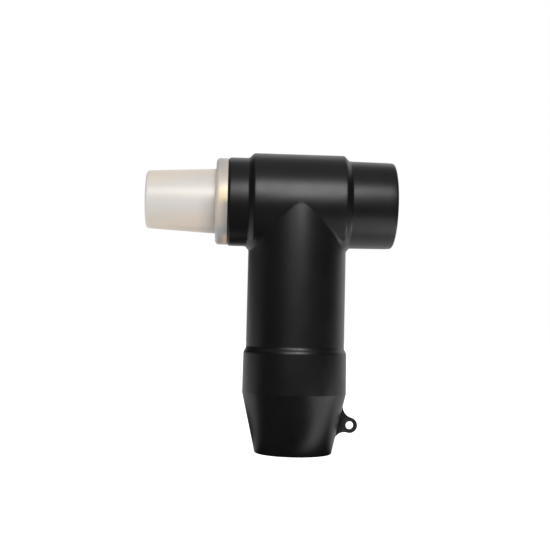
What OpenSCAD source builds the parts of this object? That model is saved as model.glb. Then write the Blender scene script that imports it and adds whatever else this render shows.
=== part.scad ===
// Rear tee connector for screened medium-voltage cable, with a plug cone on its left arm.
// The origin is the centre of the cable entry's rim, +Z runs up the trunk and +X along the socket arm.

/* [Plug cone] */
// Diameter of the plug cone where it meets its flange
cone_base_d = 56; // [54:0.5:60]
// Diameter of the plug cone at its tip
cone_tip_d = 49.8; // [46:0.2:52]
// Length of the plug cone, and depth of the socket that takes the same cone
cone_len = 59.6; // [54:0.2:66]
// Radius of the rounded edge at the cone's tip
cone_tip_round = 2.5; // [1:0.5:4]
// Diameter of the flange behind the cone
flange_d = 74.8; // [70:0.2:76]
// Thickness of the flange
flange_t = 10.1; // [7:0.1:13]
// Radius of the flange's outer edge
flange_round = 1.8; // [0.5:0.1:3]

/* [Crossbar] */
// Height of the crossbar's axis above the cable entry's rim
axis_h = 215; // [190:1:240]
// Distance from the trunk's axis to the foot of the plug cone
plug_reach = 71.3; // [66:0.1:80]
// Diameter of the barrel in the middle of the crossbar
barrel_d = 85.2; // [85:0.2:90]
// Length of the barrel, to the outer edges of its chamfers
barrel_len = 86.6; // [84:0.2:92]
// Radius of the barrel's shoulders
barrel_round = 2.4; // [1:0.1:4]
// Diameter of the band between the barrel and the flange
band_d = 76.6; // [75:0.2:78]
// Radius of the jacket's edge beside the flange
band_round = 2.8; // [1:0.1:3]
// Distance from the trunk's axis to the face of the socket arm
arm_reach = 82.4; // [78:0.2:90]
// Diameter of the socket arm beside the barrel
arm_d = 76; // [75:0.2:78]
// Diameter of the socket arm where its collar begins
arm_collar_d = 75.2; // [74.6:0.2:76]
// Length of the collar at the arm's face, which tapers a little more
arm_collar_len = 6.4; // [4:0.2:10]
// Diameter of the socket arm at its face
arm_face_d = 74.6; // [73:0.2:75]
// Radius of the arm's outer edge
arm_round = 2; // [0.5:0.1:3]

/* [Trunk and cable entry] */
// Diameter of the trunk
trunk_d = 84.6; // [80:0.2:85]
// Diameter of the bell at its top
bell_top_d = 88.8; // [87:0.2:89.4]
// Diameter of the bell at its knee
bell_d = 89.4; // [88:0.2:94]
// Height where the trunk starts to widen into the bell
bell_top_h = 88.6; // [80:0.2:100]
// Height of the slope between trunk and bell
bell_step = 3.8; // [2:0.2:6]
// Radius of the rounded edges above and below that slope
bell_round = 2; // [0.5:0.1:3]
// Height of the knee where the bell ends and the skirt begins
knee_h = 51.1; // [46:0.1:60]
// Radius of the knee
knee_round = 2; // [0.5:0.5:6]
// Diameter of the rim at the cable entry
rim_d = 65.8; // [63:0.2:72]
// Radius of the rim's outer edge
rim_round = 1.2; // [0.5:0.1:2]
// Diameter of the cable bore
cable_bore_d = 52; // [50:0.2:54]
// Length of the cable bore from the rim
cable_bore_len = 132; // [120:1:136]
// Width of the lead-in chamfer at the cable bore's mouth
lead_in = 1.6; // [0.5:0.1:2]

/* [Walls] */
// Thickness of the conductive jacket on the crossbar and the trunk
jacket_t = 3; // [2:0.1:3.6]
// Thickness of the conductive insert round the lug chamber
insert_t = 3; // [2:0.1:3.4]
// Height where the insulation ends inside the skirt
insulation_end_h = 38; // [34:0.5:42]

/* [Lug chamber] */
// Diameter of the chamber along the crossbar
chamber_d = 42; // [40:0.2:43]
// Diameter of the passage for the lug's barrel
passage_d = 40; // [36:0.2:40]
// Distance from the trunk's axis to the chamber's inner wall
chamber_wall_x = 12; // [10:0.2:14]
// Length of the cone between the cable bore and the passage
funnel_len = 14; // [10:0.5:18]
// Overlap of the insert with the socket and with the cable bore
insert_overlap = 16; // [12:0.5:20]
// Length of the insert's collar round the contact rod
collar_len = 46; // [40:0.5:52]

/* [Contact] */
// Diameter of the copper contact rod
rod_d = 27; // [24:0.5:32]
// Diameter of the rod's head in the lug chamber
rod_head_d = 34; // [33:0.5:36]
// Thickness of the rod's head
rod_head_t = 6; // [4:0.5:8]
// Distance from the trunk's axis to the face that the lug is clamped on
contact_face_x = 6; // [5:0.2:8]
// Distance that the rod's end lies below the cone's tip
rod_recess = 1; // [0:0.1:2]
// Thread diameter of the stud and of both tapped holes
thread_d = 16; // [12:1:18]
// Depth of the tapped holes
tapped_depth = 40; // [30:1:45]
// Length of the stud
stud_len = 68; // [60:1:72]
// Length of the stud in its tapped hole
stud_grip = 34; // [28:1:36]

/* [Washers and nut] */
// Clearance between the thread and the washers' holes, on the radius
washer_gap = 0.5; // [0.2:0.1:1]
// Diameter of the plain washer
washer_d = 30; // [28:0.5:32]
// Thickness of the plain washer
washer_t = 3; // [2:0.1:4]
// Width of the spring washer's ring
spring_ring_w = 5; // [4:0.1:5.4]
// Thickness of the spring washer
spring_t = 3.5; // [2.5:0.1:4.5]
// Width of the spring washer's slit
spring_slit = 2; // [1:0.1:3]
// Width of the nut across its flats
nut_flats = 24; // [23:0.5:27]
// Height of the nut
nut_h = 14.8; // [10:0.2:16]

/* [Earthing eye] */
// Distance from the trunk's axis to the eye's centre
eye_x = 48.4; // [47:0.1:52]
// Height of the eye's centre
eye_h = 24.4; // [22:0.1:28]
// Diameter of the eye's hole
eye_hole_d = 6.8; // [5:0.1:8]
// Width of the rubber round the hole
eye_rim_w = 3.2; // [2.5:0.1:5]
// Thickness of the eye's tab
eye_t = 4.6; // [3:0.1:8]
// Radius of the hollow between the eye and the skirt above it
eye_top_hollow = 10.4; // [7:0.1:13]
// Radius of the hollow between the eye and the skirt below it
eye_low_hollow = 9; // [6:0.1:11]

/* [Hidden] */
$fn = 96;

barrel_r = barrel_d / 2;
trunk_r = trunk_d / 2;
band_r = band_d / 2;
arm_r = arm_d / 2;
arm_face_r = arm_face_d / 2;
half_barrel = barrel_len / 2;
band_chamfer = barrel_r - band_r;
arm_chamfer = barrel_r - arm_r;
band_end_x = -plug_reach + flange_t;
tip_x = -plug_reach - cone_len;
socket_mouth_r = cone_base_d / 2;
socket_floor_r = cone_tip_d / 2;
socket_floor_x = arm_reach - cone_len;
cable_bore_r = cable_bore_d / 2;
passage_r = passage_d / 2;
chamber_r = chamber_d / 2;
rim_flat_r = rim_d / 2;
skirt_slope = (bell_d - rim_d) / 2 / knee_h;
skirt_along = unit([skirt_slope, 1]);
skirt_out = unit([1, -skirt_slope]);
eye_centre = [eye_x, eye_h];
eye_r = eye_hole_d / 2 + eye_rim_w;
tab_sink = 0.3;
wall_shift = jacket_t * tan(22.5);
rod_r = rod_d / 2;
thread_r = thread_d / 2;
washer_bore_r = thread_r + washer_gap;
face_x = -contact_face_x;
past = 1;
round_steps = 5;
arc_steps = 14;

// The first two numbers of a corner, without its radius
function flat(p) = [p[0], p[1]];

// A vector of length one
function unit(v) = v / norm(v);

// The arc that replaces corner b between neighbours a and c
function arc_at(a, b, c, r) =
    let (u = unit(a - b), v = unit(c - b), half = acos(u * v) / 2)
    let (centre = b + unit(u + v) * r / sin(half))
    let (from = b + u * r / tan(half) - centre, to = b + v * r / tan(half) - centre)
    let (start = atan2(from[1], from[0]), turn = (atan2(to[1], to[0]) - start + 540) % 360 - 180)
    [for (k = [0 : round_steps]) centre + r * [cos(start + turn * k / round_steps),
        sin(start + turn * k / round_steps)]];

// An outline from corners that each may carry a radius: [x, y] or [x, y, radius]
function rounded(corners) = [
    for (i = [0 : len(corners) - 1])
        let (a = flat(corners[(i + len(corners) - 1) % len(corners)]), b = flat(corners[i]))
        let (c = flat(corners[(i + 1) % len(corners)]))
        each is_undef(corners[i][2]) ? [b] : arc_at(a, b, c, corners[i][2])
];

// Radius of the socket's taper at a distance from the trunk's axis
function socket_r(x) = socket_floor_r + (socket_mouth_r - socket_floor_r) * (x - socket_floor_x) / cone_len;

// Points on an arc, with its angles in degrees
function arc(centre, r, from, to) =
    [for (k = [0 : arc_steps]) centre + r * [cos(from + (to - from) * k / arc_steps),
        sin(from + (to - from) * k / arc_steps)]];

// The direction of a vector in degrees, between from and from + 360
function heading(v, from = 0) = (atan2(v[1], v[0]) - from + 720) % 360 + from;

// Centre of a hollow of radius r that touches the skirt and the eye's rim, above (1) or below it (-1)
function hollow_centre(r, side) =
    let (foot = [rim_flat_r - tab_sink, 0], reach = eye_centre - foot)
    let (climb = sqrt((r + eye_r) * (r + eye_r) - (reach * skirt_out - r) * (reach * skirt_out - r)))
    foot + skirt_out * r + skirt_along * (reach * skirt_along + side * climb);

// A solid of revolution about the trunk's axis, from points [radius, height]
module turned_upright(outline) {
    rotate_extrude()
        polygon(rounded(outline));
}

// A solid of revolution about the crossbar's axis, from points [radius, distance along X]
module turned_across(outline) {
    translate([0, 0, axis_h])
        rotate([0, 90, 0])
            rotate_extrude()
                polygon(rounded(outline));
}

// The crossbar's outer form, from the flange to the socket arm's face
module crossbar_form() {
    turned_across([
        [0, band_end_x],
        [band_r, band_end_x, band_round],
        [band_r, -half_barrel],
        [barrel_r, band_chamfer - half_barrel, barrel_round],
        [barrel_r, half_barrel - arm_chamfer, barrel_round],
        [arm_r, half_barrel],
        [arm_collar_d / 2, arm_reach - arm_collar_len],
        [arm_face_r, arm_reach, arm_round],
        [0, arm_reach]
    ]);
}

// The trunk's outer form, with the bell and the skirt
module trunk_form() {
    turned_upright([
        [0, 0],
        [rim_flat_r, 0, rim_round],
        [bell_d / 2, knee_h, knee_round],
        [bell_top_d / 2, bell_top_h - bell_step, bell_round],
        [trunk_r, bell_top_h, bell_round],
        [trunk_r, axis_h],
        [0, axis_h]
    ]);
}

// The insulation's outer form under the jacket, and its bare flange
module insulation_form() {
    turned_across([
        [0, -plug_reach],
        [flange_d / 2, -plug_reach, flange_round],
        [flange_d / 2, band_end_x],
        [band_r - jacket_t, band_end_x],
        [band_r - jacket_t, wall_shift - half_barrel],
        [barrel_r - jacket_t, band_chamfer - half_barrel + wall_shift],
        [barrel_r - jacket_t, half_barrel - arm_chamfer - wall_shift],
        [arm_r - jacket_t, half_barrel - wall_shift],
        [arm_face_r - jacket_t, arm_reach],
        [0, arm_reach]
    ]);
    turned_upright([
        [0, insulation_end_h],
        [cable_bore_r + jacket_t, insulation_end_h],
        [trunk_r - jacket_t, knee_h],
        [trunk_r - jacket_t, axis_h],
        [0, axis_h]
    ]);
}

// The plug cone, which reaches into the flange
module plug_cone_form() {
    turned_across([
        [0, tip_x],
        [cone_tip_d / 2, tip_x, cone_tip_round],
        [cone_base_d / 2, -plug_reach],
        [cone_base_d / 2, past - plug_reach],
        [0, past - plug_reach]
    ]);
}

// The tapered socket in the right arm
module socket_hollow() {
    turned_across([
        [0, socket_floor_x],
        [socket_floor_r, socket_floor_x],
        [socket_r(arm_reach + past), arm_reach + past],
        [0, arm_reach + past]
    ]);
}

// The cable bore, its lead-in and the funnel that leads up to the passage
module cable_hollow() {
    mouth_r = cable_bore_r + lead_in;
    turned_upright([
        [0, -past],
        [mouth_r + past, -past],
        [cable_bore_r, lead_in],
        [cable_bore_r, cable_bore_len],
        [passage_r, cable_bore_len + funnel_len],
        [passage_r, axis_h],
        [0, axis_h]
    ]);
}

// The lug chamber across the trunk
module chamber_hollow() {
    turned_across([
        [0, -chamber_wall_x],
        [chamber_r, -chamber_wall_x],
        [chamber_r, socket_floor_x + past],
        [0, socket_floor_x + past]
    ]);
}

// The insert's outer form, with its hollows still filled
module insert_form() {
    lip_x = socket_floor_x + insert_overlap;
    lip_h = cable_bore_len - insert_overlap;
    wall_x = chamber_wall_x + insert_t;
    edge_round = insert_t * 0.8;
    shoulder_x = socket_floor_x - insert_t * 2;
    turned_across([
        [0, -wall_x - collar_len],
        [rod_r + insert_t, -wall_x - collar_len, edge_round],
        [rod_r + insert_t, -wall_x, insert_t],
        [chamber_r + insert_t, -wall_x, insert_t],
        [chamber_r + insert_t, shoulder_x, insert_t],
        [socket_floor_r + insert_t, socket_floor_x - insert_t, insert_t],
        [socket_r(lip_x) + insert_t, lip_x, edge_round],
        [0, lip_x]
    ]);
    turned_upright([
        [0, lip_h],
        [cable_bore_r + insert_t, lip_h, edge_round],
        [cable_bore_r + insert_t, cable_bore_len, insert_t],
        [passage_r + insert_t, cable_bore_len + funnel_len, insert_t],
        [passage_r + insert_t, axis_h],
        [0, axis_h]
    ]);
}

// The contact rod's envelope, with a wider head where the lug is clamped
module rod_form() {
    turned_across([
        [0, tip_x + rod_recess],
        [rod_r, tip_x + rod_recess],
        [rod_r, face_x - rod_head_t],
        [rod_head_d / 2, face_x - rod_head_t],
        [rod_head_d / 2, face_x],
        [0, face_x]
    ]);
}

// A round hole along the crossbar's axis that starts at x
module hole_across(x, r, length) {
    translate([x, 0, axis_h])
        rotate([0, 90, 0])
            cylinder(r = r, h = length);
}

// The earthing eye's flat outline: a round rim that runs into the skirt through a hollow above and below it
module eye_outline() {
    top = hollow_centre(eye_top_hollow, 1);
    low = hollow_centre(eye_low_hollow, -1);
    inward = heading(-skirt_out);
    difference() {
        polygon(concat(
            [top - skirt_out * (eye_top_hollow + jacket_t)],
            arc(top, eye_top_hollow, inward, heading(eye_centre - top, inward)),
            arc(eye_centre, eye_r, heading(top - eye_centre), heading(low - eye_centre, -180)),
            arc(low, eye_low_hollow, heading(eye_centre - low), inward),
            [low - skirt_out * (eye_low_hollow + jacket_t)]
        ));
        translate(eye_centre)
            circle(d = eye_hole_d);
    }
}

// The earthing eye, a flat tab in the plane of the arms
module earthing_eye() {
    translate([0, eye_t / 2, 0])
        rotate([90, 0, 0])
            linear_extrude(eye_t)
                eye_outline();
}

// Black conductive jacket, moulded in one piece with the earthing eye
module outer_screen() {
    color([0.09, 0.09, 0.1])
        difference() {
            union() {
                crossbar_form();
                trunk_form();
                earthing_eye();
            }
            insulation_form();
            cable_hollow();
        }
}

// Translucent insulation, with the plug cone, its flange and the socket's wall
module insulating_body() {
    color([0.87, 0.82, 0.76])
        difference() {
            union() {
                insulation_form();
                plug_cone_form();
            }
            insert_form();
            socket_hollow();
            cable_hollow();
            rod_form();
            hole_across(tip_x - past, rod_r, rod_recess + past);
        }
}

// Black conductive insert round the lug chamber, with a collar on the contact rod
module inner_screen() {
    color([0.13, 0.13, 0.14])
        difference() {
            insert_form();
            socket_hollow();
            cable_hollow();
            chamber_hollow();
            rod_form();
        }
}

// Turned copper rod with a tapped hole in either end
module contact_rod() {
    color([0.8, 0.5, 0.32])
        difference() {
            rod_form();
            hole_across(tip_x, thread_r, rod_recess + tapped_depth);
            hole_across(face_x - tapped_depth, thread_r, tapped_depth + past);
        }
}

// Stud in the rod's inner hole, with a chamfered free end
module contact_stud() {
    start_x = face_x - stud_grip;
    end_x = start_x + stud_len;
    chamfer = thread_r / 5;
    color([0.72, 0.73, 0.75])
        turned_across([
            [0, start_x],
            [thread_r - chamfer, start_x],
            [thread_r, start_x + chamfer],
            [thread_r, end_x - chamfer],
            [thread_r - chamfer, end_x],
            [0, end_x]
        ]);
}

// Plain washer against the rod's face
module plain_washer() {
    color([0.76, 0.77, 0.78])
        difference() {
            hole_across(face_x, washer_d / 2, washer_t);
            hole_across(face_x - past, washer_bore_r, washer_t + 2 * past);
        }
}

// Split spring washer on the plain washer
module spring_washer() {
    ring_r = washer_bore_r + spring_ring_w;
    start_x = face_x + washer_t;
    color([0.62, 0.63, 0.65])
        difference() {
            hole_across(start_x, ring_r, spring_t);
            hole_across(start_x - past, washer_bore_r, spring_t + 2 * past);
            translate([start_x - past, -spring_slit / 2, axis_h])
                cube([spring_t + 2 * past, spring_slit, ring_r + past]);
        }
}

// Hexagon nut with its corners turned off at both ends
module hex_nut() {
    start_x = face_x + washer_t + spring_t;
    corner_r = nut_flats / 2 / cos(30);
    turned_off = corner_r - nut_flats / 2;
    color([0.72, 0.73, 0.75])
        difference() {
            intersection() {
                translate([start_x, 0, axis_h])
                    rotate([0, 90, 0])
                        cylinder(r = corner_r, h = nut_h, $fn = 6);
                turned_across([
                    [0, start_x],
                    [nut_flats / 2, start_x],
                    [corner_r, start_x + turned_off / 2],
                    [corner_r, start_x + nut_h - turned_off / 2],
                    [nut_flats / 2, start_x + nut_h],
                    [0, start_x + nut_h]
                ]);
            }
            hole_across(start_x - past, thread_r, nut_h + 2 * past);
        }
}

outer_screen();
insulating_body();
inner_screen();
contact_rod();
contact_stud();
plain_washer();
spring_washer();
hex_nut();
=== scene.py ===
import math

import bmesh
import bpy
from mathutils import Matrix, Vector


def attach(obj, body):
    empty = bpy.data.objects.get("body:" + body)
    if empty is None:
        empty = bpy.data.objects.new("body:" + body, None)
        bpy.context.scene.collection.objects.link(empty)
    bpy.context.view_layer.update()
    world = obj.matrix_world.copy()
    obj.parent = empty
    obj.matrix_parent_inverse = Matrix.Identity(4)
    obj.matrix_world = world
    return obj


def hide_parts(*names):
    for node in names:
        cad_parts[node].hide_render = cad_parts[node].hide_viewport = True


# Rear tee connector: black rubber jacket, milky plug cone, copper contact
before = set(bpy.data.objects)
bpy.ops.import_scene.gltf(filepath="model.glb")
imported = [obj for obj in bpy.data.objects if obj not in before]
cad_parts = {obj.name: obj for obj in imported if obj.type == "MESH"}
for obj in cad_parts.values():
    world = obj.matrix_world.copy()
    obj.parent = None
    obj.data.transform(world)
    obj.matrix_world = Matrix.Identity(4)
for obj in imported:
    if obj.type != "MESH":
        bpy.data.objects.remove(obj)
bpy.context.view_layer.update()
mm = 0.001
axisHeight = 215 * mm  # the crossbar's axis
nearby = 1e-6  # points nearer than this are one, in metres
turnedAbout = {
    "trunk": (Vector((0, 0, 0)), Vector((0, 0, 1))),
    "crossbar": (Vector((0, 0, axisHeight)), Vector((1, 0, 0))),
}
print("frame loaded", len(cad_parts), "nodes")


# outlines: points (along, radius) or (along, radius, corner radius), in millimetres
def roundedLine(corners, steps=6):
    line = []
    for i, corner in enumerate(corners):
        here = Vector(corner[:2])
        if len(corner) == 2:
            line.append(here * mm)
            continue
        back = (Vector(corners[i - 1][:2]) - here).normalized()
        ahead = (Vector(corners[i + 1][:2]) - here).normalized()
        half = back.angle(ahead) / 2
        centre = here + (back + ahead).normalized() * corner[2] / math.sin(half)
        start = here + back * corner[2] / math.tan(half) - centre
        end = here + ahead * corner[2] / math.tan(half) - centre
        turn = math.atan2(start.x * end.y - start.y * end.x, start.dot(end))
        for k in range(steps + 1):
            line.append((centre + Matrix.Rotation(turn * k / steps, 2) @ start) * mm)
    return line


def pointOnBar(along, radius, turn=0.0):
    return Vector((along, radius * math.sin(turn), axisHeight - radius * math.cos(turn)))


# a solid of revolution: the outline is drawn as a chain of edges, then spun
def spinOutline(bm, line, about, steps, closed=True):
    if about == "trunk":
        verts = [bm.verts.new((p.y, 0, p.x)) for p in line]
    else:
        verts = [bm.verts.new(pointOnBar(p.x, p.y)) for p in line]
    pairs = list(zip(verts, verts[1:] + verts[:1])) if closed else list(zip(verts, verts[1:]))
    chain = verts + [bm.edges.new(pair) for pair in pairs]
    centre, axis = turnedAbout[about]
    turn = 2 * math.pi
    bmesh.ops.spin(bm, geom=chain, cent=centre, axis=axis, angle=turn, steps=steps, use_merge=True)


# puts another bmesh's shape into this one
def takeIn(bm, other):
    spare = bpy.data.meshes.new("spare")
    other.to_mesh(spare)
    other.free()
    bm.from_mesh(spare)
    bpy.data.meshes.remove(spare)


def pieceFrom(bm, name, sharpAngle=38, weld=nearby):
    bmesh.ops.remove_doubles(bm, verts=bm.verts, dist=weld)
    bmesh.ops.dissolve_degenerate(bm, edges=bm.edges, dist=nearby / 10)
    bmesh.ops.recalc_face_normals(bm, faces=bm.faces)
    mesh = bpy.data.meshes.new(name)
    bm.to_mesh(mesh)
    bm.free()
    mesh.shade_smooth()
    mesh.set_sharp_from_angle(angle=math.radians(sharpAngle))
    made = bpy.data.objects.new(name, mesh)
    bpy.context.scene.collection.objects.link(made)
    return made


# colours and finishes; a gloss is the least and the greatest roughness
look = {
    "rubberColour": (0.0047, 0.0047, 0.005, 1),
    "rubberGloss": (0.35, 0.39),
    "siliconeMiddle": (0.645, 0.615, 0.59, 1),  # over the rod
    "siliconeEdge": (0.74, 0.65, 0.56, 1),  # above and below it
    # painted shade on the cone's underside, near the flange
    "siliconePaintedShade": (0.445, 0.425, 0.405, 1),  # below it, near the flange
    # the rod's colour showing through the flange, with a painted reflection of it
    "flangeRodAndReflection": (0.51, 0.445, 0.4, 1),
    "flangeOuter": (0.38, 0.38, 0.39, 1),
    # painted glow, in the warm spot and in the ring
    "flangePaintedGlow": (0.74, 0.6, 0.37, 1),
    # painted shade in the ring beside the jacket
    "flangePaintedShade": (0.28, 0.27, 0.26, 1),
    # painted glow at the ring's foot
    "flangeFootPaintedGlow": (0.82, 0.56, 0.4, 1),
    "siliconeIndex": 2.25,  # more than silicone's own 1.41, for its strong shine
    "siliconeShine": (1.0, 0.95, 0.82, 1),
    "siliconeThin": 0.05,  # how much light goes straight through
    "siliconeMilk": 0.6,  # how much is scattered inside
    "siliconeGloss": (0.39, 0.43),
    "paintedShadeStrength": 0.7,
    "paintedGlowStrength": 0.85,
    "paintedRingStrength": 0.85,
    "insertDark": (0.02, 0.02, 0.021, 1),
    "insertLight": (0.035, 0.035, 0.037, 1),
    "insertGloss": (0.5, 0.66),
    "copperColour": (0.72, 0.36, 0.2, 1),
    "copperGloss": (0.24, 0.4),
    "steelColour": (0.56, 0.57, 0.58, 1),
    "steelGloss": (0.26, 0.42),
}


# a node tree that is filled by short calls; a value is a number, a colour or another node's output
class NodeSheet:
    def __init__(self, tree):
        self.tree = tree
        tree.nodes.clear()

    def add(self, kind, **settings):
        node = self.tree.nodes.new(kind)
        for key, value in settings.items():
            setattr(node, key, value)
        return node

    def feed(self, value, target):
        if isinstance(value, bpy.types.NodeSocket):
            self.tree.links.new(value, target)
        else:
            target.default_value = value

    def math(self, operation, *values):
        node = self.add("ShaderNodeMath", operation=operation)
        for value, target in zip(values, node.inputs):
            self.feed(value, target)
        return node.outputs[0]

    def mapRange(self, source, fromMin, fromMax, toMin, toMax, kind):
        node = self.add("ShaderNodeMapRange", interpolation_type=kind)
        for value, target in zip((source, fromMin, fromMax, toMin, toMax), node.inputs):
            self.feed(value, target)
        return node.outputs["Result"]

    def coordinates(self, which):
        parts = self.add("ShaderNodeSeparateXYZ")
        self.feed(self.add("ShaderNodeTexCoord").outputs[which], parts.inputs[0])
        return parts.outputs["X"], parts.outputs["Y"], parts.outputs["Z"]


class FinishSheet(NodeSheet):
    def __init__(self, name):
        self.material = bpy.data.materials.new(name)
        self.material.use_nodes = True
        super().__init__(self.material.node_tree)
        self.spot = self.add("ShaderNodeTexCoord").outputs["Object"]
        self.shader = self.add("ShaderNodeBsdfPrincipled")
        self.feed(self.shader.outputs[0], self.add("ShaderNodeOutputMaterial").inputs["Surface"])

    def set(self, **values):
        for key, value in values.items():
            self.shader.inputs[key.replace("_", " ")].default_value = value

    def noise(self, scale, detail=3.0, roughness=0.5, spot=None):
        node = self.add("ShaderNodeTexNoise")
        node.inputs["Scale"].default_value = scale
        node.inputs["Detail"].default_value = detail
        node.inputs["Roughness"].default_value = roughness
        self.feed(spot or self.spot, node.inputs["Vector"])
        return node.outputs["Fac"]

    def stretched(self, scale):
        node = self.add("ShaderNodeMapping")
        node.inputs["Scale"].default_value = scale
        self.feed(self.spot, node.inputs["Vector"])
        return node.outputs["Vector"]

    # noise lies mostly between 0.3 and 0.7
    def between(self, factor, low, high, fromMin=0.3, fromMax=0.7):
        return self.mapRange(factor, fromMin, fromMax, low, high, "LINEAR")

    def ramp(self, factor, *stops):
        node = self.add("ShaderNodeValToRGB")
        band = node.color_ramp
        while len(band.elements) < len(stops):
            band.elements.new(0.5)
        for element, (place, colour) in zip(band.elements, stops):
            element.position = place
            element.color = colour
        self.feed(factor, node.inputs["Fac"])
        return node.outputs["Color"]

    def mix(self, factor, low, high):
        node = self.add("ShaderNodeMix", data_type="RGBA")
        self.feed(factor, node.inputs["Factor"])
        self.feed(low, node.inputs[6])
        self.feed(high, node.inputs[7])
        return node.outputs[2]

    def gloss(self, pattern, values):
        self.feed(self.between(pattern, *values), self.shader.inputs["Roughness"])

    def bump(self, height, distance, strength):
        node = self.add("ShaderNodeBump")
        node.inputs["Strength"].default_value = strength
        node.inputs["Distance"].default_value = distance
        self.feed(height, node.inputs["Height"])
        self.feed(node.outputs["Normal"], self.shader.inputs["Normal"])


def shade(colour, factor):
    return tuple(min(1, c * factor) for c in colour[:3]) + (1,)


# darker to lighter than this colour, in clouds of this scale
def cloudedColour(sheet, colour, darker, lighter, scale, detail=4, roughness=0.5, soft=0.2):
    stops = ((0.5 - soft, shade(colour, darker)), (0.5 + soft, shade(colour, lighter)))
    tint = sheet.ramp(sheet.noise(scale, detail, roughness), *stops)
    sheet.feed(tint, sheet.shader.inputs["Base Color"])


def jacketRubber():
    sheet = FinishSheet("jacketRubber")
    cloudedColour(sheet, look["rubberColour"], 0.85, 1.2, scale=38, soft=0.15)
    sheet.gloss(sheet.noise(scale=90, detail=5), look["rubberGloss"])
    sheet.set(IOR=1.5)
    sheet.bump(sheet.noise(scale=2600, detail=2), distance=0.00002, strength=0.5)
    return sheet.material


def insertRubber():
    sheet = FinishSheet("insertRubber")
    cloudy = sheet.noise(scale=60, detail=4)
    colour = sheet.ramp(cloudy, (0.3, look["insertDark"]), (0.7, look["insertLight"]))
    sheet.feed(colour, sheet.shader.inputs["Base Color"])
    sheet.gloss(sheet.noise(scale=150, detail=4), look["insertGloss"])
    sheet.bump(sheet.noise(scale=2200, detail=2), distance=0.00003, strength=0.5)
    return sheet.material


# where the silicone's tints lie: along X, or above and below the crossbar's axis, in metres
tintPlaces = {
    # where the painted shade on the cone lies
    "paintedShadeAlong": (-0.086, -0.075),
    "paintedShadeRise": (-0.006, 0.004),
    "flangeAlong": (-0.0722, -0.0705),
    # where the painted glow spot lies
    "glowAlong": (-0.0712, -0.066),
    "glowMiddle": 0.0008,
    "glowReach": (0.003, 0.009),
    # where the painted ring of glow and shade lies
    "paintedRingAlong": (-0.0672, -0.0622),
    "paintedRingRise": (-0.037, 0.012),
    "jacketEdge": -0.0605,
    "cloudShift": (-0.006, 0.006),
    "bodyFade": (0.0, 0.028),
    "flangeFade": (0.0, 0.037),
}


def milkySilicone():
    sheet = FinishSheet("milkySilicone")
    x, _, z = sheet.coordinates("Object")
    rise = sheet.math("SUBTRACT", z, axisHeight)
    cloudy = sheet.noise(scale=30, detail=2, spot=sheet.stretched((0.5, 1, 1)))
    cloudShift = sheet.between(cloudy, *tintPlaces["cloudShift"])
    offCentre = sheet.math("ADD", sheet.math("ABSOLUTE", rise), cloudShift)

    # warmer above and below the crossbar's axis, greyer at the height of the rod
    body = sheet.ramp(
        sheet.between(offCentre, 0, 1, *tintPlaces["bodyFade"]),
        (0.0, look["siliconeMiddle"]),
        (0.45, look["siliconeMiddle"]),
        (0.85, look["siliconeEdge"]),
    )
    # painted shade: the cone darker on its underside near the flange
    shadeNearFlange = sheet.between(x, 0, look["paintedShadeStrength"], *tintPlaces["paintedShadeAlong"])
    paintedShade = sheet.math("MULTIPLY", shadeNearFlange, sheet.between(rise, 1, 0, *tintPlaces["paintedShadeRise"]))
    body = sheet.mix(paintedShade, body, look["siliconePaintedShade"])

    # the flange: warmer at the rod's height, where the rod's colour shows through with a painted
    # reflection of it, greyer above and below; a painted glow spot beside the axis
    flangeTint = sheet.ramp(
        sheet.between(offCentre, 0, 1, *tintPlaces["flangeFade"]),
        (0.0, look["flangeRodAndReflection"]),
        (0.5, look["flangeRodAndReflection"]),
        (0.85, look["flangeOuter"]),
    )
    tinted = sheet.mix(sheet.between(x, 0, 1, *tintPlaces["flangeAlong"]), body, flangeTint)
    outside = sheet.math("LESS_THAN", x, tintPlaces["jacketEdge"])
    # painted glow: a warm spot beside the axis, outside the jacket
    fromMiddle = sheet.math("ABSOLUTE", sheet.math("SUBTRACT", rise, tintPlaces["glowMiddle"]))
    besideAxis = sheet.between(fromMiddle, 1, 0, *tintPlaces["glowReach"])
    glowAlong = sheet.between(x, 0, look["paintedGlowStrength"], *tintPlaces["glowAlong"])
    paintedGlowSpot = sheet.math("MULTIPLY", glowAlong, besideAxis)
    tinted = sheet.mix(sheet.math("MULTIPLY", paintedGlowSpot, outside), tinted, look["flangePaintedGlow"])

    # a painted ring beside the black jacket, from its foot upwards: painted glow at its foot and at
    # the rod's height, painted shade between
    paintedRingAlong = sheet.between(x, 0, look["paintedRingStrength"], *tintPlaces["paintedRingAlong"])
    # the ring's painted glow and shade lie only outside the jacket
    ring = sheet.math("MULTIPLY", paintedRingAlong, outside)
    paintedRingTint = sheet.ramp(
        sheet.between(rise, 0, 1, *tintPlaces["paintedRingRise"]),
        (0.0, look["flangeFootPaintedGlow"]),
        (0.08, look["flangeFootPaintedGlow"]),
        (0.16, look["flangePaintedShade"]),
        (0.63, look["flangePaintedShade"]),
        (0.72, look["flangePaintedGlow"]),
        (0.87, look["flangePaintedGlow"]),
        (1.0, look["flangeRodAndReflection"]),
    )
    sheet.feed(sheet.mix(ring, tinted, paintedRingTint), sheet.shader.inputs["Base Color"])
    sheet.gloss(sheet.noise(scale=60), look["siliconeGloss"])
    sheet.set(IOR=look["siliconeIndex"], Specular_Tint=look["siliconeShine"])
    sheet.set(Transmission_Weight=look["siliconeThin"], Subsurface_Weight=look["siliconeMilk"])
    sheet.set(Subsurface_Scale=0.006, Subsurface_Radius=(1.0, 0.8, 0.65))
    sheet.bump(sheet.noise(scale=420, detail=2), distance=0.00001, strength=0.3)
    return sheet.material


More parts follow.
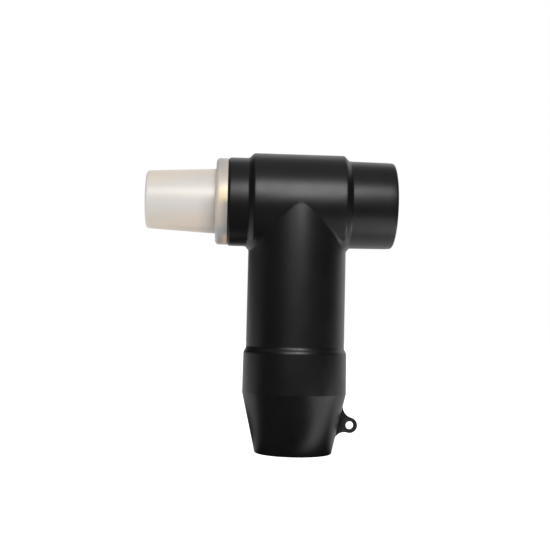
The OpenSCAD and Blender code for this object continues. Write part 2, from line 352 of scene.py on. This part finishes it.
def turnedCopper():
    sheet = FinishSheet("turnedCopper")
    rings = sheet.noise(scale=1, roughness=0.6, spot=sheet.stretched((2600, 60, 60)))
    cloudedColour(sheet, look["copperColour"], 0.85, 1.08, scale=55)
    sheet.gloss(rings, look["copperGloss"])
    sheet.set(Metallic=1.0)
    sheet.bump(rings, distance=0.00003, strength=0.6)
    return sheet.material


def zincSteel(name):
    sheet = FinishSheet(name)
    cloudedColour(sheet, look["steelColour"], 0.82, 1.1, scale=130, detail=5, roughness=0.6)
    sheet.gloss(sheet.noise(scale=300, detail=4), look["steelGloss"])
    sheet.set(Metallic=1.0)
    sheet.bump(sheet.noise(scale=1500), distance=0.00003, strength=0.4)
    return sheet.material


# the jacket, in millimetres; a bar is one side of the crossbar
jacket = {
    "creaseRadius": 3.5,  # fillet between the trunk and the crossbar
    "creaseSpread": 1.45,  # half length of the blend, in fillet tangents
    "creaseFade": 2.2,  # how far the smoothing reaches, in half lengths of the blend
    "creaseSamples": 6,  # points averaged on each side of a smoothed one
    "halfTurnSteps": 60,
    "topSteps": 66,
    "trunkRows": 18,
    "creaseRows": 6,  # on each side of the crease
    "barRows": 16,
    "rowGap": 0.3,  # least distance from the crease to the next row
    "bandBar": [(0, 42.57), (38.9, 42.57, 2.4), (43.3, 38.3, 3.2), (61.2, 38.3, 2.8), (61.2, 35.5)],
    "armBar": [
        (0, 42.57),
        (38.7, 42.57, 2.4),
        (43.3, 38.0, 3.2),
        (76.0, 37.6),
        (82.4, 37.3, 2.0),
        (82.4, 34.8),
    ],
    "bandLining": [(0, 39.57), (37.76, 39.57), (42.06, 35.3), (61.2, 35.3)],
    "armLining": [(0, 39.57), (37.46, 39.57), (42.06, 35.0), (82.4, 34.3)],
    # from the lining down to the rim and up again, to where the sheets take over
    "trunkOutline": [
        (160, 39.3),
        (51.1, 39.3),
        (38, 29),
        (38, 26),
        (1.6, 26),
        (0, 27.6),
        (0, 32.9, 1.2),
        (51.1, 44.69, 2.0),
        (86.0, 44.4, 6.0),
        (89.2, 42.3, 6.0),
        (160, 42.3),
    ],
}


def barRadius(bar, x):
    if x <= bar[0].x:
        return bar[0].y
    for low, high in zip(bar, bar[1:]):
        if x <= high.x and high.x > low.x:
            return low.y + (high.y - low.y) * (x - low.x) / (high.x - low.x)
    return bar[-1].y


# one line of the sheet: up the trunk at this angle, through the crease and out along the bar
def sheetLine(angle, side, trunkRadius, bar, creaseRadius, startHeight):
    x, y = trunkRadius * math.cos(angle), trunkRadius * math.sin(angle)
    radius = barRadius(bar, x)
    turn = math.asin(y / radius)
    creaseHeight = axisHeight - radius * math.cos(turn)
    bend = math.acos(max(-1, min(1, math.sin(angle) * math.sin(turn))))  # between the two surfaces
    tangent = creaseRadius * math.tan(bend / 2)
    blend = jacket["creaseSpread"] * tangent * math.sqrt(1 + math.sin(angle) ** 2)
    if math.cos(angle) < nearby:  # both sheets end in one point at the front and the back
        blend = 0

    def sharpPoint(t):
        if t <= 0:
            return Vector((side * x, y, creaseHeight + t))
        point = pointOnBar(x + t, barRadius(bar, x + t), turn)
        return Vector((side * point.x, point.y, point.z))

    def softPoint(t):
        reach = blend * max(0, 1 - abs(t) / (jacket["creaseFade"] * blend)) if blend else 0
        count = jacket["creaseSamples"]
        samples = [sharpPoint(t + reach * k / count) for k in range(-count, count + 1)]
        return sum(samples, Vector()) / len(samples)

    trunkRows, creaseRows, barRows = jacket["trunkRows"], jacket["creaseRows"], jacket["barRows"]
    clear = x + blend + jacket["rowGap"] * mm
    run = creaseHeight - blend - startHeight
    line = [softPoint(-blend - run * (1 - k / trunkRows)) for k in range(trunkRows)]
    line += [softPoint(blend * k / creaseRows) for k in range(-creaseRows, creaseRows)]
    shoulder = bar[0].x if bar[0].x > clear else x + blend
    line += [softPoint((shoulder - x - blend) * k / barRows + blend) for k in range(barRows)]
    for station in bar:
        if station.x > clear:
            point = pointOnBar(station.x, station.y, turn)
            line.append(Vector((side * point.x, point.y, point.z)))
        else:
            line.append(softPoint(blend))
    return line


def addSheet(bm, side, trunkRadius, barOutline, creaseRadius):
    columns = jacket["halfTurnSteps"]
    bar = roundedLine(barOutline)[1:]  # from the shoulder outwards
    start = jacket["trunkOutline"][-1][0] * mm
    angles = [math.pi * (k / columns - 0.5) for k in range(columns + 1)]
    lines = [sheetLine(angle, side, trunkRadius, bar, creaseRadius, start) for angle in angles]
    rows = len(lines[0]) - 1
    grid = bmesh.ops.create_grid(bm, x_segments=columns, y_segments=rows, size=1)
    for vert in grid["verts"]:
        column = round((vert.co.x + 1) / 2 * columns)
        row = round((vert.co.y + 1) / 2 * rows)
        vert.co = lines[column][row]


# the sheets' upper edges, spun over the top of the crossbar from the back to the front
def closeTop(bm, trunkRadius, barrelRadius):
    bmesh.ops.remove_doubles(bm, verts=bm.verts, dist=nearby)
    edgeTurn = math.asin(trunkRadius / barrelRadius)

    def onEdge(vert):
        turn = math.atan2(vert.co.y, axisHeight - vert.co.z)
        return math.isclose(turn, edgeTurn, abs_tol=1e-4)

    rail = [e for e in bm.edges if e.is_boundary and onEdge(e.verts[0]) and onEdge(e.verts[1])]
    railVerts = list({v for e in rail for v in e.verts})
    centre, axis = turnedAbout["crossbar"]
    sweep = 2 * math.pi - 2 * edgeTurn
    rail = railVerts + rail
    bmesh.ops.spin(bm, geom=rail, cent=centre, axis=axis, angle=sweep, steps=jacket["topSteps"])
    bmesh.ops.remove_doubles(bm, verts=bm.verts, dist=2 * nearby)


# the ring's edges are extruded and their new corners are laid on the corners of the lining's ring
def closeEnd(bm, x, splitRadius):
    ring = [e for e in bm.edges if e.is_boundary and all(abs(v.co.x - x) < nearby for v in e.verts)]

    def fromAxis(vert):
        return math.hypot(vert.co.y, vert.co.z - axisHeight)

    # the small shift keeps a corner at the very bottom first in both rings
    def turnOf(vert):
        return (math.atan2(vert.co.y, axisHeight - vert.co.z) + 0.01) % (2 * math.pi)

    outerRing = [e for e in ring if fromAxis(e.verts[0]) > splitRadius]
    liningVerts = {v for e in ring for v in e.verts if fromAxis(v) < splitRadius}
    made = bmesh.ops.extrude_edge_only(bm, edges=outerRing)
    madeVerts = [v for v in made["geom"] if isinstance(v, bmesh.types.BMVert)]
    for vert, target in zip(sorted(madeVerts, key=turnOf), sorted(liningVerts, key=turnOf)):
        vert.co = target.co


# the earthing eye, a flat tab on the skirt, in millimetres
earthingEye = {
    "centre": (48.4, 24.4),
    "holeRadius": 3.4,
    "rimRadius": 6.6,
    "thickness": 4.6,
    "topHollow": 10.4,
    "lowHollow": 9.0,
    "edgeRound": 0.6,
    "sharpTurn": 1.2,  # edges that bend more than this are rounded, in radians
    "hollowSteps": 14,
    "rimSteps": 30,
    "footSteps": 8,
    "holeSteps": 48,
    "foot": (32.6, 0),  # 0.3 inside the skirt's lower edge
    "skirt": (11.8, 51.1),  # the skirt's run and rise
}


def arcPoints(centre, radius, start, end, way, steps):
    first = math.atan2(start.y, start.x)
    turn = (math.atan2(end.y, end.x) - first) % (2 * math.pi) - (2 * math.pi if way < 0 else 0)
    angles = [first + turn * k / steps for k in range(steps + 1)]
    return [centre + radius * Vector((math.cos(a), math.sin(a))) for a in angles]


def eyeOutline():
    eye, foot = Vector(earthingEye["centre"]), Vector(earthingEye["foot"])
    along = Vector(earthingEye["skirt"]).normalized()
    outward = Vector((along.y, -along.x))
    rim = earthingEye["rimRadius"]

    def hollowCentre(radius, side):
        reach = eye - foot
        climb = math.sqrt((radius + rim) ** 2 - (reach.dot(outward) - radius) ** 2)
        return foot + outward * radius + along * (reach.dot(along) + side * climb)

    top = hollowCentre(earthingEye["topHollow"], 1)
    low = hollowCentre(earthingEye["lowHollow"], -1)
    steps, footSteps = earthingEye["hollowSteps"], earthingEye["footSteps"]
    line = arcPoints(top, earthingEye["topHollow"], -outward, eye - top, 1, steps)
    line += arcPoints(eye, rim, top - eye, low - eye, -1, earthingEye["rimSteps"])[1:]
    line += arcPoints(low, earthingEye["lowHollow"], eye - low, -outward, 1, steps)[1:]
    first, last = line[0], line[-1]
    return line + [last.lerp(first, k / footSteps) for k in range(1, footSteps)]


def addEye(jacketMesh):
    bm = bmesh.new()
    eye = Vector(earthingEye["centre"])
    half = earthingEye["thickness"] / 2
    outline = eyeOutline()
    verts = [bm.verts.new(Vector((p.x, -half, p.y)) * mm) for p in outline]
    edges = [bm.edges.new(pair) for pair in zip(verts, verts[1:] + verts[:1])]
    middle = Matrix.Translation(Vector((eye.x, -half, eye.y)) * mm)
    place = middle @ Matrix.Rotation(math.pi / 2, 4, "X")
    radius, steps = earthingEye["holeRadius"] * mm, earthingEye["holeSteps"]
    hole = bmesh.ops.create_circle(bm, segments=steps, radius=radius, matrix=place)
    edges += list({e for v in hole["verts"] for e in v.link_edges})
    bmesh.ops.triangle_fill(bm, edges=edges, use_beauty=True, use_dissolve=False)
    solid = bmesh.ops.extrude_face_region(bm, geom=bm.faces[:])
    lifted = [v for v in solid["geom"] if isinstance(v, bmesh.types.BMVert)]
    bmesh.ops.translate(bm, vec=(0, 2 * half * mm, 0), verts=lifted)
    bmesh.ops.recalc_face_normals(bm, faces=bm.faces)
    bm.normal_update()
    sharpTurn = earthingEye["sharpTurn"]
    rims = [e for e in bm.edges if len(e.link_faces) == 2 and e.calc_face_angle() > sharpTurn]
    rounding = earthingEye["edgeRound"] * mm
    bmesh.ops.bevel(
        bm, geom=rims, offset=rounding, segments=3, profile=0.5, affect="EDGES", material=-1
    )
    takeIn(jacketMesh, bm)


def makeShell(trunkRadius, armBar, bandBar, creaseRadius):
    bm = bmesh.new()
    addSheet(bm, 1, trunkRadius * mm, armBar, creaseRadius * mm)
    addSheet(bm, -1, trunkRadius * mm, bandBar, creaseRadius * mm)
    closeTop(bm, trunkRadius * mm, armBar[0][1] * mm)
    return bm


def makeJacket():
    armBar, bandBar, trunk = jacket["armBar"], jacket["bandBar"], jacket["trunkOutline"]
    armLining, bandLining = jacket["armLining"], jacket["bandLining"]
    shell = makeShell(trunk[-1][1], armBar, bandBar, jacket["creaseRadius"])
    takeIn(shell, makeShell(trunk[0][1], armLining, bandLining, 0))
    for side, bar, lining in ((1, armBar, armLining), (-1, bandBar, bandLining)):
        closeEnd(shell, side * bar[-1][0] * mm, (bar[-1][1] + lining[-1][1]) / 2 * mm)
    spinOutline(shell, roundedLine(trunk), "trunk", 2 * jacket["halfTurnSteps"], closed=False)
    addEye(shell)
    return pieceFrom(shell, "rubberJacket", weld=2 * nearby)


def stands(piece, node, material):
    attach(piece, "root")
    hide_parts(node)
    piece.data.materials.append(material)


rubberJacket = makeJacket()
stands(rubberJacket, "outer_screen", jacketRubber())
print("jacket made", len(rubberJacket.data.polygons), "faces")


# the insulation: plug cone, flange and socket in one outline, cable bore in the other;
# it reaches a little into the jacket, so that no gap shows
armEnd, bandEnd = jacket["armBar"][-1][0], jacket["bandBar"][-1][0]
insulation = {
    "steps": 160,
    "acrossOutline": [
        (-130.9, 13.4),
        (-130.9, 24.9, 2.5),
        (-71.3, 28, 0.5),
        (-71.3, 37.4, 3.2),
        (-bandEnd, 37.4),
        (-bandEnd, 35.35),
        (-42.06, 35.35),
        (-37.76, 39.65),
        (37.46, 39.65),
        (42.06, 35.05),
        (armEnd, 34.35),
        (armEnd, 28, 0.6),
        (38.8, 25.73),
        (38.8, 28.75),
        (19.8, 27.85),
        (16.8, 23.95),
        (-15, 23.95),
        (-15, 16.45),
        (-61, 16.45),
        (-61, 13.4),
    ],
    "uprightOutline": [
        (38, 26),
        (38, 28.95),
        (51.1, 39.35),
        (180, 39.35),
        (180, 22.95),
        (146, 22.95),
        (132, 28.95),
        (116, 28.95),
        (116, 26),
    ],
}


def makeInsulation():
    bm = bmesh.new()
    spinOutline(bm, roundedLine(insulation["acrossOutline"]), "crossbar", insulation["steps"])
    spinOutline(bm, roundedLine(insulation["uprightOutline"]), "trunk", insulation["steps"])
    return pieceFrom(bm, "siliconeInsulation")


siliconeInsulation = makeInsulation()
stands(siliconeInsulation, "insulating_body", milkySilicone())
print("insulation made", len(siliconeInsulation.data.polygons), "faces")


# contact rod and stud
contact = {
    "rodOutline": [
        (-87.6, 0),
        (-89.9, 8),
        (-129, 8),
        (-129.9, 8.9),
        (-129.9, 13),
        (-129.4, 13.5),
        (-12, 13.5),
        (-12, 17),
        (-6.3, 17),
        (-6, 16.7),
        (-6, 8),
        (-46, 8),
        (-48.3, 0),
    ],
    "studOutline": [(-40, 0), (-40, 5.4), (-38.6, 6.8), (26.6, 6.8), (28, 5.4), (28, 0)],
    "pitch": 2.0,
    "boreThread": [(0, 8.05), (0, 7.95), (0.62, 6.92), (0.88, 6.92), (1.5, 7.95), (1.5, 8.05)],
    "studThread": [(0, 6.7), (0, 6.8), (0.62, 8), (0.88, 8), (1.5, 6.8), (1.5, 6.7)],
    "boreTurns": (-129, 18),  # where the thread starts, and its turns
    "studTurns": (-38.6, 31),
    "turnSteps": 40,
    "bodySteps": 96,
}


# a closed ridge of this section that climbs along the crossbar's axis
def addThread(bm, section, start, turns):
    steps = contact["turnSteps"]
    verts = [bm.verts.new(pointOnBar((start + p) * mm, radius * mm)) for p, radius in section]
    edges = [bm.edges.new(pair) for pair in zip(verts, verts[1:] + verts[:1])]
    centre, axis = turnedAbout["crossbar"]
    rise = Vector((contact["pitch"] * mm / steps, 0, 0))
    angle = 2 * math.pi * turns
    bmesh.ops.spin(
        bm, geom=verts + edges, cent=centre, axis=axis, dvec=rise, angle=angle, steps=steps * turns
    )
    bmesh.ops.holes_fill(bm, edges=[e for e in bm.edges if e.is_boundary], sides=len(section))


def makeContactPart(name, outline, section, turns):
    bm = bmesh.new()
    bodyLine = roundedLine(contact[outline])
    spinOutline(bm, bodyLine, "crossbar", contact["bodySteps"], closed=False)
    bmesh.ops.remove_doubles(bm, verts=bm.verts, dist=nearby)
    addThread(bm, contact[section], *contact[turns])
    return pieceFrom(bm, name, sharpAngle=30)


contactRod = makeContactPart("copperRod", "rodOutline", "boreThread", "boreTurns")
stands(contactRod, "contact_rod", turnedCopper())
contactStud = makeContactPart("threadedStud", "studOutline", "studThread", "studTurns")
stands(contactStud, "contact_stud", zincSteel("studSteel"))
for node, material in (
    ("inner_screen", insertRubber()),
    ("plain_washer", zincSteel("washerSteel")),
    ("spring_washer", zincSteel("springSteel")),
    ("hex_nut", zincSteel("nutSteel")),
):
    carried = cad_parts[node]
    carried.data.materials.clear()
    carried.data.materials.append(material)
print("contact parts made")


# camera, lamps, world and floor
stageLook = {
    "floorHalf": 12,
    "floorColour": (0.8, 0.8, 0.8, 1),
    "floorGlow": 0.9,
    "floorLift": 0.3,  # how much light the floor sends up
    # what reflections see of the floor, in metres; a soft edge is from, to, level before, level after
    "floorSweep": (-0.015, 0.02, 0.0, 0.8),
    # painted shadow of the part on the floor, seen only in reflections
    "floorPaintedShadow": (-0.055, 0.17, 0.11, 0.18),  # dark oval behind on the left: centre, half widths
    "paintedShadowSoft": (0.4, 1.0, 0.0, 1.0),
    # painted pools of light on the floor, seen only in reflections: a wedge, an oblong and a spot
    "floorLightWedge": (0.008, -0.043, -0.6, 0.15),  # bright wedge: tip, slopes of its two sides
    "lightWedgeSoft": (-0.008, 0.008, 0.0, 1.0),
    "oblongFront": (-0.33, -0.21, 0.0, 1.0),  # bright oblong in front of the wedge
    "oblongBack": (-0.045, -0.025, 1.0, 0.0),
    "oblongLeft": (0.056, 0.08, 0.0, 1.0),
    "brightEnd": (0.15, 0.26, 1.0, 0.0),  # where wedge and oblong end on the right
    "brightLevel": 1.5,
    # painted light spot
    "floorLightSpot": (0.25, -0.052, 0.055, 0.055),  # small bright oval, seen in the creases
    "lightSpotSoft": (0.3, 1.0, 9.0, 0.0),
    # what reflections see of the world, by direction
    "worldSweep": (0.3, 0.72, 0.0, 1.0),
    "worldLean": 0.12,
    "leftSide": (-0.5, -0.15, 1.0, 0.0),
    "leftAbove": (0.02, 0.05, 0.0, 1.0),
    "ambient": 0.56,
    "overhead": (0.6, 1.0, 0.0, 0.28),
    # name, place, aim, width and height, radiance
    "lamps": [
        ("softbox", (0.105, -1.02, 0.8), (0.0, 0, 0.2), (0.45, 0.44), 8.7),
        ("leftSoftbox", (-0.345, -1.02, 0.7), (-0.08, 0, 0.2), (0.15, 0.46), 8.8),
        ("nearStrip", (0.024, -0.26, 0.268), (0, 0, 0.2), (0.07, 0.035), 12.0),
    ],
    "cameraPlace": (-0.0561, -0.8109, 0.1008),
    "cameraYaw": -0.0462,  # turns in radians
    "cameraPitch": 0.0633,
    "cameraRoll": -0.0232,
    "lens": 61.43,
}


def makeCamera():
    data = bpy.data.cameras.new("photoCamera")
    data.lens = stageLook["lens"]
    data.sensor_width = 36
    data.clip_start = 0.05
    data.clip_end = 50
    camera = bpy.data.objects.new("photoCamera", data)
    turn = (
        Matrix.Rotation(stageLook["cameraYaw"], 3, "Z")
        @ Matrix.Rotation(stageLook["cameraPitch"], 3, "X")
        @ Matrix.Rotation(stageLook["cameraRoll"], 3, "Y")
    )
    right, ahead, up = turn.col[0], turn.col[1], turn.col[2]
    facing = Matrix((right, up, -ahead)).transposed()
    camera.matrix_world = Matrix.Translation(stageLook["cameraPlace"]) @ facing.to_4x4()
    bpy.context.scene.collection.objects.link(camera)
    bpy.context.scene.camera = camera


def addLamp(name, place, aim, size, radiance):
    data = bpy.data.lights.new(name, "AREA")
    data.shape = "RECTANGLE"
    data.size, data.size_y = size
    data.energy = math.pi * size[0] * size[1] * radiance
    lamp = bpy.data.objects.new(name, data)
    lamp.location = place
    lamp.rotation_euler = (Vector(aim) - Vector(place)).to_track_quat("-Z", "Y").to_euler()
    lamp.visible_camera = False
    bpy.context.scene.collection.objects.link(lamp)


class StageSheet(NodeSheet):
    def __init__(self, tree):
        super().__init__(tree)
        self.paths = self.add("ShaderNodeLightPath").outputs

    def soft(self, source, values):
        return self.mapRange(source, *values, "SMOOTHSTEP")

    # 0 in the middle of the oval and 1 at its rim
    def oval(self, x, y, centreX, centreY, halfX, halfY):
        across = self.math("DIVIDE", self.math("SUBTRACT", x, centreX), halfX)
        along = self.math("DIVIDE", self.math("SUBTRACT", y, centreY), halfY)
        return self.math("MULTIPLY_ADD", across, across, self.math("MULTIPLY", along, along))

    def pick(self, condition, whenTrue, whenFalse):
        node = self.add("ShaderNodeMix", data_type="FLOAT")
        self.feed(condition, node.inputs["Factor"])
        self.feed(whenFalse, node.inputs[2])
        self.feed(whenTrue, node.inputs[3])
        return node.outputs[0]


def makeWorld():
    world = bpy.data.worlds.new("studio")
    world.use_nodes = True
    bpy.context.scene.world = world
    sheet = StageSheet(world.node_tree)
    x, y, z = sheet.coordinates("Generated")

    # in reflections: dark in front of the part, white behind it, but dark again high up on the left
    leaning = sheet.math("MULTIPLY_ADD", x, stageLook["worldLean"], y)
    behind = sheet.soft(leaning, stageLook["worldSweep"])
    left, high = sheet.soft(x, stageLook["leftSide"]), sheet.soft(z, stageLook["leftAbove"])
    highLeft = sheet.math("MULTIPLY", left, high)
    behind = sheet.math("MULTIPLY", behind, sheet.math("SUBTRACT", 1.0, highLeft))
    mirrored = sheet.math("MAXIMUM", behind, sheet.soft(z, stageLook["overhead"]))

    level = sheet.pick(sheet.paths["Is Glossy Ray"], mirrored, stageLook["ambient"])
    level = sheet.pick(sheet.paths["Is Transmission Ray"], mirrored, level)
    level = sheet.pick(sheet.paths["Is Camera Ray"], 1.0, level)
    background = sheet.add("ShaderNodeBackground")
    background.inputs["Color"].default_value = (1, 1, 1, 1)
    sheet.feed(level, background.inputs["Strength"])
    sheet.feed(background.outputs[0], sheet.add("ShaderNodeOutputWorld").inputs["Surface"])


def makeFloor():
    bm = bmesh.new()
    bmesh.ops.create_grid(bm, x_segments=1, y_segments=1, size=stageLook["floorHalf"])
    mesh = bpy.data.meshes.new("floor")
    bm.to_mesh(mesh)
    bm.free()
    floor = bpy.data.objects.new("floor", mesh)
    bpy.context.scene.collection.objects.link(floor)
    material = bpy.data.materials.new("paleFloor")
    material.use_nodes = True
    floor.data.materials.append(material)
    sheet = StageSheet(material.node_tree)
    x, y, _ = sheet.coordinates("Object")

    # in reflections: white behind with a painted shadow of the part on the left, painted pools of
    # light on the right
    fromPaintedShadow = sheet.oval(x, y, *stageLook["floorPaintedShadow"])
    outOfPaintedShadow = sheet.soft(fromPaintedShadow, stageLook["paintedShadowSoft"])
    behind = sheet.math("MULTIPLY", sheet.soft(y, stageLook["floorSweep"]), outOfPaintedShadow)

    # painted pools of light: a wedge and an oblong on the right, and a small spot
    tipX, tipY, nearSlope, farSlope = stageLook["floorLightWedge"]
    fromTip = sheet.math("SUBTRACT", x, tipX)
    nearLine = sheet.math("MULTIPLY_ADD", fromTip, -nearSlope, y)
    farLine = sheet.math("MULTIPLY_ADD", fromTip, -farSlope, y)
    nearSide = sheet.soft(sheet.math("SUBTRACT", nearLine, tipY), stageLook["lightWedgeSoft"])
    farSide = sheet.soft(sheet.math("SUBTRACT", tipY, farLine), stageLook["lightWedgeSoft"])
    lightWedge = sheet.math("MULTIPLY", nearSide, farSide)

    front, back = sheet.soft(y, stageLook["oblongFront"]), sheet.soft(y, stageLook["oblongBack"])
    inDepth = sheet.math("MULTIPLY", front, back)
    oblong = sheet.math("MULTIPLY", inDepth, sheet.soft(x, stageLook["oblongLeft"]))
    fields = sheet.math("MAXIMUM", lightWedge, oblong)
    bright = sheet.math("MULTIPLY", fields, stageLook["brightLevel"])
    bright = sheet.math("MULTIPLY", bright, sheet.soft(x, stageLook["brightEnd"]))
    spot = sheet.soft(sheet.oval(x, y, *stageLook["floorLightSpot"]), stageLook["lightSpotSoft"])
    mirrored = sheet.math("MAXIMUM", sheet.math("MAXIMUM", behind, bright), spot)

    paint = sheet.add("ShaderNodeBsdfDiffuse")
    paint.inputs["Color"].default_value = stageLook["floorColour"]
    glow = sheet.add("ShaderNodeEmission")
    lift = sheet.pick(sheet.paths["Is Camera Ray"], stageLook["floorGlow"], stageLook["floorLift"])
    sheet.feed(lift, glow.inputs["Strength"])
    both = sheet.add("ShaderNodeAddShader")
    sheet.feed(paint.outputs[0], both.inputs[0])
    sheet.feed(glow.outputs[0], both.inputs[1])
    reflected = sheet.add("ShaderNodeEmission")
    sheet.feed(mirrored, reflected.inputs["Strength"])
    mixed = sheet.add("ShaderNodeMixShader")
    sheet.feed(sheet.paths["Is Glossy Ray"], mixed.inputs[0])
    sheet.feed(both.outputs[0], mixed.inputs[1])
    sheet.feed(reflected.outputs[0], mixed.inputs[2])
    sheet.feed(mixed.outputs[0], sheet.add("ShaderNodeOutputMaterial").inputs["Surface"])


makeCamera()
makeWorld()
makeFloor()
for lampValues in stageLook["lamps"]:
    addLamp(*lampValues)
bpy.context.scene.view_settings.view_transform = "Standard"
print("stage made")
